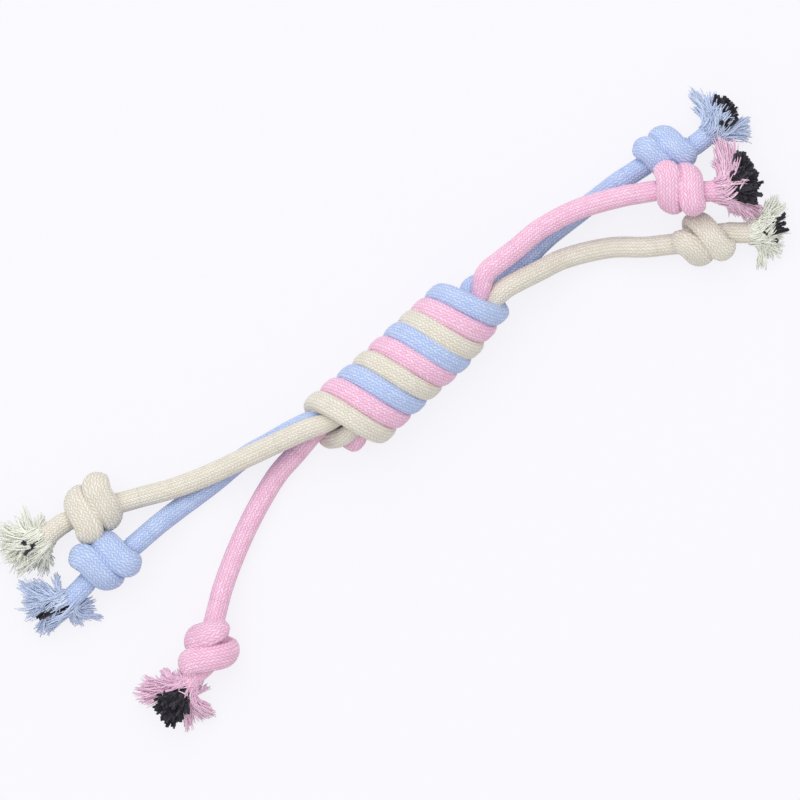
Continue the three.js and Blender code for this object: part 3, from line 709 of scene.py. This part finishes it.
def finished(tree, shader, tones, shade, light, height, depth):
    # deep to base by the shade and on to light, over a bump of the height
    # on the braid these are painted shade and painted highlight; on yarns, tones that differ at random
    body = mixColours(tree, shade, linear(tones["deep"]), linear(tones["base"]))
    feed(tree, shader.inputs["Base Color"], mixColours(tree, light, body, linear(tones["light"])))
    bump = addNode(tree, "ShaderNodeBump", Strength=cloth["bump"], Distance=depth, Height=height)
    feed(tree, shader.inputs["Normal"], bump.outputs[0])


def braidMaterial(name, colour):
    # the stitches' own relief, painted highlight on crowns, painted shade between them, in uneven patches
    material, tree, shader = principled(name, *cloth["braid"])
    uv = tree.nodes.new("ShaderNodeUVMap")
    uv.uv_map = "stitches"
    group = tree.nodes.new("ShaderNodeGroup")
    group.node_tree = stitches
    tree.links.new(uv.outputs[0], group.inputs["UV"])
    patches = addNode(tree, "ShaderNodeTexNoise", Scale=cloth["patchScale"], Detail=cloth["patchDetail"],
                      Vector=addNode(tree, "ShaderNodeTexCoord").outputs["Object"])
    # painted highlight on the stitches' crowns, stronger on some stitches and in patches at random
    stitch = maths(tree, "MULTIPLY", group.outputs["Stitch"], cloth["stitch"])
    patch = maths(tree, "MULTIPLY", patches.outputs[0], cloth["patch"])
    light = maths(tree, "MULTIPLY", maths(tree, "ADD", stitch, patch), group.outputs["Shade"])
    finished(tree, shader, colours[colour], group.outputs["Shade"], light, group.outputs["Height"],
             cloth["stitchDepth"])
    return material


# Where each frayed end's yarns go, in mm from the barrel's centre: x, y, z, spread, how many, arch
tassels = {
    ("left", "cream", "cover"): (
        (-182, 65.7, 9, 4, 44, 3), (-187, 60.7, 8, 3.8, 40, 3), (-188.5, 53.2, 7, 3.6, 40, 3),
        (-187, 47.2, 4, 3.4, 34, 2), (-181.5, 42.2, 3, 3.8, 38, 2), (-175.5, 41.7, 3, 2.6, 22, 2),
        (-173.5, 63.7, 8, 3.4, 30, 3), (-166, 58.7, 6, 2.4, 20, 2), (-168.3, 67.2, 9, 0.7, 6, 2),
        (-181, 55.2, 15, 4.4, 60, 3), (-178.5, 48.2, 12, 4, 46, 3), (-183.5, 49.7, 12, 3.6, 34, 3),
    ),
    ("left", "cream", "core"): (
        (-177, 52.4, 20.5, 0.6, 6, 2), (-179.6, 55.5, 19, 0.4, 3, 2), (-182.2, 51, 19, 0.4, 3, 2),
    ),
    ("left", "blue", "cover"): (
        (-197, 34.7, 8, 3.4, 46, 3), (-191, 41.2, 8, 3.2, 42, 3), (-198.5, 30.2, 8, 2.4, 26, 3),
        (-199.5, 22.3, 6, 1.8, 28, 2), (-197, 20.3, 4, 1.6, 20, 2), (-187.5, 38.7, 8, 3, 32, 3),
        (-178, 34.9, 4, 1.8, 16, 2), (-185, 14.7, 4, 2.2, 30, 2), (-179, 13.5, 3, 2.6, 34, 2),
        (-175.6, 8.2, 2, 0.8, 9, 1), (-190, 31.7, 14, 4, 60, 3), (-187, 27.7, 14, 3, 34, 3),
        (-193, 23.2, 11, 2.6, 26, 2), (-175, 16.2, 4, 2.2, 18, 2), (-183, 13, 3, 2.6, 30, 2),
        (-176.5, 12.5, 3, 2, 22, 2),
    ),
    ("left", "blue", "core"): (
        (-196.6, 27.1, 16, 1.1, 12, 2), (-194, 25.7, 17, 0.7, 3, 2), (-188.4, 22.3, 13, 0.5, 3, 2),
        (-190, 29.3, 17, 0.4, 3, 2),
    ),
    ("left", "pink", "cover"): (
        (-184.5, -27.3, 8, 3.6, 50, 3), (-179.5, -25.7, 8, 3, 40, 3), (-186.5, -30.9, 8, 2, 22, 2),
        (-171.5, -26.3, 8, 1.8, 26, 2), (-167.3, -30.9, 7, 1.8, 18, 2), (-169.3, -54.3, 5, 2.8, 50, 3),
        (-172.5, -52.3, 4, 2.4, 34, 3), (-179, -52.3, 3, 2.2, 24, 2), (-176, -29.8, 12, 3, 40, 3),
        (-170.5, -46.3, 10, 2, 34, 3), (-172, -35.8, 14, 1.6, 24, 2), (-161, -45.1, 3, 1.2, 8, 1),
    ),
    ("left", "pink", "core"): [(*place, 1.7, 30, 3) for place in (
        (-179.6, -41.3, 17.5), (-179.3, -37.5, 15.5), (-183.1, -39.8, 15.5), (-182.3, -44.4, 15.5),
        (-177.3, -44.6, 15.5), (-175.9, -40.3, 15.5), (-178.1, -34.8, 13), (-182.3, -35.1, 13),
        (-185.4, -37.7, 13), (-185.9, -41.9, 13), (-184.9, -46.2, 13), (-180.9, -47.8, 13),
        (-176.8, -47.6, 13), (-173.5, -44.9, 13), (-173, -40.6, 13), (-174, -36.2, 13),
    )],
    ("right", "blue", "cover"): (
        (169.5, 3.4, 7, 2.8, 50, 3), (166.2, -0.3, 7, 1.6, 18, 2), (173.5, -1.3, 9, 2.4, 40, 3),
        (174.5, -7.3, 13, 3, 60, 3), (175, -12.3, 13, 2.6, 40, 3), (177, -20.8, 7, 2.8, 50, 3),
        (174.5, -25.3, 5, 2.4, 34, 2), (170.5, -20.8, 7, 2.6, 34, 2), (171, -7.8, 16, 3, 44, 3),
    ),
    ("right", "blue", "core"): (
        (176.3, -2.7, 16, 1.2, 18, 3), (177.8, -5.9, 16, 1.2, 18, 3), (178.3, -9.3, 15.5, 1.2, 18, 3),
        (178.5, -12.9, 15, 1.2, 16, 3), (176.8, -16, 14, 1.1, 12, 3), (174.4, -16.7, 12, 1, 4, 3),
        (170.2, -13.3, 20, 0.6, 5, 2),
    ),
    ("right", "pink", "cover"): (
        (162.5, -19.7, 19, 2.8, 50, 3), (165.6, -22.8, 18, 2, 24, 3), (156, -23.3, 19, 1.8, 24, 2),
        (159, -25.8, 21, 2.2, 34, 3), (160, -38.9, 26, 0.8, 10, 3), (155.5, -35.9, 26, 1.3, 15, 3),
        (151.5, -52.7, 14, 2.8, 50, 3), (156.5, -52.3, 12, 1.8, 24, 2), (147.6, -46.8, 16, 2.4, 40, 3),
        (150.5, -44.3, 20, 2.6, 44, 3), (163.5, -29.7, 24, 1.2, 9, 3),
    ),
    ("right", "pink", "core"): (
        (166, -28.1, 22, 1.1, 24, 3), (167, -31.7, 22, 1.5, 34, 3), (167, -35.7, 22, 1.5, 34, 3),
        (165.8, -39.9, 21, 1.5, 34, 3), (164, -44, 20, 1.5, 32, 3), (162, -32.9, 25.5, 1.8, 34, 3),
        (160.6, -42.8, 24, 1.8, 36, 3), (160.8, -47.3, 19, 1.5, 28, 3), (157.2, -48.7, 19, 1.5, 28, 3),
        (154.6, -45.5, 22, 1.4, 24, 3), (158.5, -45.4, 21, 1.6, 24, 3), (163.6, -37.3, 25.5, 1.9, 36, 3),
        (159, -35.2, 26.5, 1.5, 22, 3), (156.5, -38.5, 26, 1.5, 20, 3), (155.5, -42, 24, 1.4, 18, 3),
    ),
    ("right", "cream", "cover"): (
        (163, -53.8, 8, 2.8, 44, 3), (165, -57.8, 7, 2, 28, 3), (157.5, -67.3, 5, 2.4, 34, 2),
        (151.5, -71.8, 3, 2.2, 30, 2), (145.5, -70.3, 3, 2.4, 30, 2), (139.5, -71.9, 2, 1.6, 16, 2),
        (156.5, -58.3, 13, 3, 50, 3), (159.5, -61.3, 11, 2.4, 40, 3), (154, -64.8, 10, 2.8, 44, 3),
        (148.5, -65.8, 8, 2.6, 34, 2),
    ),
    ("right", "cream", "core"): (
        (163.4, -62.4, 12.5, 0.8, 8, 3), (161.9, -65.2, 12, 0.8, 9, 3), (160.2, -67.6, 11.5, 0.8, 6, 3),
        (151.6, -62.5, 16, 0.5, 3, 2), (154.6, -69.3, 7, 0.8, 6, 2),
    ),
}
# The yarns' form in mm and their cords: "times" multiplies how many there are, "root" is how far from the
# rope's middle they start, and "short" how far they end before their place
yarns = {
    "cover": {
        "radius": 0.26, "perCord": 3, "times": 2.7, "root": (3.9, 4.7), "back": 3.2,
        "wave": 0.45, "cord": 0.5, "ragged": 1.3, "short": (0, 2.5), "turnUp": 0, "taper": 0.35,
    },
    "core": {
        "radius": 0.48, "perCord": 6, "times": 2.1, "root": (0.2, 2.6), "back": 1.5,
        "wave": 0.5, "cord": 0.55, "ragged": 0.5, "short": (0.6, 1.6), "turnUp": 0.6, "taper": 0.1,
    },
}
# What both kinds share: how they fan out and stray, their curves' pulls, their thickness and how far above
# the table they stay
laying = {
    "fan": (0.45, 1.3), "sureFrom": 9, "stray": (0.6, 0.6, 0.45), "strayMost": 1.2,
    "ahead": 0.36, "outward": 0.06, "arch": (0.12, 0.3), "late": 0.3, "pace": (3, 8),
    "thick": (0.75, 1.2), "tapersOver": (0.75, 1), "rings": 9, "sides": 5, "endAbove": 0.1, "above": 0.05,
}


def yarnTubes(root, heading, clumps, settings, random):
    # yarns lie together in cords; each cord is a Bezier curve from the rope's end to its place in a clump
    across = unit(np.cross(heading, [0, 0, 1.0]))
    upward = np.cross(across, heading)
    starts, ends, arches, radial = [], [], [], []
    inner, outer = settings["root"]
    for place, spread, count, arch in clumps:
        cords = max(int(round(count * settings["times"] / settings["perCord"])), 1)
        aim = place - root
        towards = math.atan2(aim @ upward, aim @ across)
        sure = min(np.hypot(aim @ upward, aim @ across) / laying["sureFrom"], 1)
        fan, unsure = laying["fan"]
        angle = towards + random.normal(0, 1, cords) * (fan + unsure * (1 - sure))
        out = np.cos(angle)[:, None] * across + np.sin(angle)[:, None] * upward
        radial.append(out)
        starts.append(root + out * random.uniform(inner, outer, (cords, 1))
                      - heading * random.uniform(0, settings["back"], (cords, 1)))
        most = laying["strayMost"]
        stray = np.clip(random.normal(0, 1, (cords, 3)) * laying["stray"], -most, most)
        short = unit(aim) * random.uniform(*settings["short"], (cords, 1))
        ends.append(place + stray * spread - short)
        arches.append(np.full(cords, arch))
    each = settings["perCord"]
    start, end, arch, radial = (np.repeat(np.concatenate(part), each, axis=0)
                                for part in (starts, ends, arches, radial))
    arch = arch[:, None]
    count = len(start)
    start = start + random.normal(0, settings["cord"], (count, 3))
    end = end + random.normal(0, settings["cord"] * settings["ragged"], (count, 3))
    end[:, 2] = np.maximum(end[:, 2], settings["radius"] + laying["endAbove"])
    span = np.linalg.norm(end - start, axis=1, keepdims=True)
    archEarly, archLate = laying["arch"]
    pull = start + (heading * laying["ahead"] + radial * laying["outward"]) * span + [0, 0, archEarly] * arch
    turned = unit(end - pull) + [0, 0, settings["turnUp"]]
    late = end - turned * span * laying["late"] + [0, 0, archLate] * arch
    t = np.linspace(0, 1, laying["rings"])[None, :, None]
    line = bezier(t, *(part[:, None] for part in (start, pull, late, end)))
    phase, pace = (np.repeat(random.uniform(*limits, (count // each, 1, 3)), each, axis=0)
                   for limits in ((0, 2 * math.pi), laying["pace"]))
    line = line + settings["wave"] * t * np.sin(t * pace + phase)
    line[..., 2] = np.maximum(line[..., 2], settings["radius"] + laying["above"])
    ahead = unit(np.gradient(line, axis=1))
    side = unit(np.cross(ahead, unit(random.normal(0, 0.2, (count, 1, 3)) + [0.1, 0.2, 1])))
    other = np.cross(ahead, side)
    angle = 2 * math.pi * np.arange(laying["sides"]) / laying["sides"]
    thick = settings["radius"] * random.uniform(*laying["thick"], (count, 1))
    thick = thick * (1 - settings["taper"] * smooth(t[..., 0], *laying["tapersOver"]))
    return line[:, :, None] + thick[..., None, None] * outwardAt(angle, side, other)


def yarnMesh(name, tubes, random):
    # closed tubes, each with a tone of its own and a UV that runs round and along it
    count, rings, sides = tubes.shape[:3]
    index = np.arange(count * rings * sides).reshape(count, rings, sides)
    right = np.roll(index, -1, axis=2)
    quads = np.stack([index[:, :-1], right[:, :-1], right[:, 1:], index[:, 1:]], -1).reshape(-1, 4)
    caps = np.concatenate([index[:, 0, ::-1], index[:, -1]])
    turn, along, _ = np.broadcast_arrays(np.arange(sides) / sides, np.linspace(0, 1, rings)[:, None], index)
    uvAt = np.stack([turn, along], -1).reshape(-1, 2)
    loops = np.concatenate([quads.ravel(), caps.ravel()])
    starts = np.concatenate([np.arange(len(quads)) * 4, len(quads) * 4 + np.arange(len(caps)) * sides])
    mesh = meshOf(name, tubes.reshape(-1, 3), loops, starts, len(starts), "yarn", uvAt[loops])
    tone = mesh.attributes.new("tone", "FLOAT", "POINT")
    tone.data.foreach_set("value", np.repeat(random.uniform(0, 1, count), rings * sides).astype(np.float32))
    return mesh


def yarnMaterial(name, colour, kind):
    # fibres run along the yarn, and each yarn has its own tone
    material, tree, shader = principled(name, *cloth[kind])
    uv = tree.nodes.new("ShaderNodeUVMap")
    uv.uv_map = "yarn"
    stretch = addNode(tree, "ShaderNodeMapping", Vector=uv.outputs[0], Scale=cloth["fibreScale"])
    fibres = addNode(tree, "ShaderNodeTexNoise", Scale=1.0, Vector=stretch.outputs[0])
    tone = tree.nodes.new("ShaderNodeAttribute")
    tone.attribute_name = "tone"
    mix = maths(tree, "ADD", maths(tree, "MULTIPLY", tone.outputs["Fac"], cloth["tone"]),
                maths(tree, "MULTIPLY", fibres.outputs[0], cloth["fibre"]))
    light = maths(tree, "MULTIPLY", maths(tree, "SUBTRACT", mix, cloth["lightFrom"]), cloth["lightBy"])
    light = maths(tree, "MAXIMUM", light, 0.0)
    finished(tree, shader, colours[colour], mix, light, fibres.outputs[0], cloth["fibreDepth"])
    return material


covers = {name: braidMaterial(name + "Braid", name) for name in ropeNames}
frayed = {name: yarnMaterial(name + "Yarn", name + "Yarn", "yarn") for name in ropeNames}
coreYarn = yarnMaterial("coreYarn", "black", "core")
print("materials made")


# The black yarns inside a tail, with a ridge for each outer yarn, in mm
bundle = {"sides": 24, "ridges": 8, "ridge": 0.35, "everyRing": 4}


def coreBundle(name, rings, first, last):
    # a ridged tube well within the tail's cover
    rows = slice(first, last + 1, bundle["everyRing"])
    angle = 2 * math.pi * np.arange(bundle["sides"]) / bundle["sides"]
    radius = rope["core"] / 2 - bundle["ridge"] * (0.5 + 0.5 * np.cos(angle * bundle["ridges"]))
    ring = outwardAt(angle, rings["side"][rows], rings["other"][rows])
    tube = rings["line"][rows, None] + radius[:, None] * ring + shift
    return yarnMesh(name, tube[None], np.random.default_rng(1))


def ringsOf(rings, part):
    # first and last ring of a part of the rope, counted from its left end
    return rings["cuts"][part], min(rings["cuts"][part + 1], len(rings["line"]) - 1)


def braidPiece(label, node, name, rings, part, tuck=0.0):
    surface, rows = ropeSurface(rings, *ringsOf(rings, part), tuck)
    return addPiece(label, gridMesh(label, surface + shift, rows), covers[name], node)


def makeEnd(side, name, label, node, rings, part):
    # past a tail: its end knot, the rest of the braid, the frayed yarns and the core's yarns in them
    stubPart, last, way = (0, 0, -1) if side == "left" else (6, 1, 1)
    made = [braidPiece("endKnot" + label, "end_knot_" + node, name, rings, part),
            braidPiece("stub" + label, "frayed_end_" + node, name, rings, stubPart)]
    tipRing = ringsOf(rings, stubPart)[last]
    tip = rings["line"][tipRing] + shift
    heading = rings["ahead"][tipRing] * way
    random = np.random.default_rng(11 + len(bpy.data.objects))
    for kind, start, material, slotName, replaced in (
            ("cover", "yarns", frayed[name], name + "_cover", "frayed_end_"),
            ("core", "tuft", coreYarn, "black_core", "core_tuft_")):
        clumps = [(row[:3] + shift, *row[3:]) for row in tassels[side, name, kind]]
        tubes = yarnTubes(tip, heading, clumps, yarns[kind], random)
        mesh = yarnMesh(start + label, tubes, random)
        made.append(addPiece(start + label, mesh, material, replaced + node))
    return made


def makeTails(name, rings):
    # the tails lie free; each with its core and what is on it
    lengths = []
    for side, part, endPart in (("left", 2, 1), ("right", 4, 5)):
        label = side.capitalize() + name.capitalize()
        node = side + "_" + name
        first, last = ringsOf(rings, part)
        piece = braidPiece("tail" + label, "tail_" + node, name, rings, part, braid["tuck"])
        yarnsInside = coreBundle("tailCore" + label, rings, first, last)
        core = addPiece("tailCore" + label, yarnsInside, coreYarn, "tail_core_" + node)
        path = (rings["line"][first:last + 1] + shift) * mm
        if side == "left":
            path = path[::-1]
        length = float(np.linalg.norm(np.diff(path, axis=0), axis=1).sum())
        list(makeEnd(side, name, label, node, rings, endPart))
        lengths.append("{:.1f} mm".format(length / mm))
    return lengths


laid = {name: ringed(wholeRope(name)) for name in ropeNames}
for name, rings in laid.items():
    print(name, "tails of", " and ".join(makeTails(name, rings)), "and their ends made")
for name, rings in laid.items():
    braidPiece("windingOf" + name.capitalize(), "barrel_winding_" + name, name, rings, 3)
print("windings made, ropes of", *("{:.0f} mm".format(rings["places"][-1]) for rings in laid.values()))


# A pale floor that runs out of sight, and soft light from above the toy's far side
stage = {
    "floor": 8.0, "floorColour": (230, 229, 235), "floorFinish": (0.9, 0.0), "paper": (251.5, 250.5, 255),
    "glow": 0.85,  # share of the paper's own light that the camera sees, so that shadows are faint
    "lampPower": 60, "lampSize": 3.2, "sky": 0.72,
    "lampPlace": (0.3, 1.25, 2.8), "lampTurn": (-0.42, 0.1, 0),  # m and radians
}


def makeStage(settings):
    half = settings["floor"] / 2
    mesh = bpy.data.meshes.new("floor")
    corners = [(-half, -half, 0), (half, -half, 0), (half, half, 0), (-half, half, 0)]
    mesh.from_pydata(corners, [], [(0, 1, 2, 3)])
    addThing("floor", mesh)
    material, tree, shader = principled("floorPaper", *settings["floorFinish"])
    shader.inputs["Base Color"].default_value = linear(settings["floorColour"])
    glow = addNode(tree, "ShaderNodeEmission", Color=linear(settings["paper"]))
    camera = tree.nodes.new("ShaderNodeLightPath").outputs["Is Camera Ray"]
    seen = maths(tree, "MULTIPLY", camera, settings["glow"])
    blend = tree.nodes.new("ShaderNodeMixShader")
    for socket, value in zip(blend.inputs, (seen, shader.outputs[0], glow.outputs[0])):
        feed(tree, socket, value)
    feed(tree, tree.nodes["Material Output"].inputs["Surface"], blend.outputs[0])
    mesh.materials.append(material)
    lamp = addThing("softLamp", bpy.data.lights.new("softLamp", "AREA"))
    lamp.data.energy = settings["lampPower"]
    lamp.data.size = settings["lampSize"]
    lamp.location = settings["lampPlace"]
    lamp.rotation_euler = settings["lampTurn"]
    world = bpy.data.worlds.new("paleRoom")
    bpy.context.scene.world = world
    world.use_nodes = True
    sky = world.node_tree.nodes["Background"]
    sky.inputs["Color"].default_value = (1, 1, 1, 1)
    sky.inputs["Strength"].default_value = settings["sky"]


makeStage(stage)
bpy.context.scene.view_settings.view_transform = "Standard"
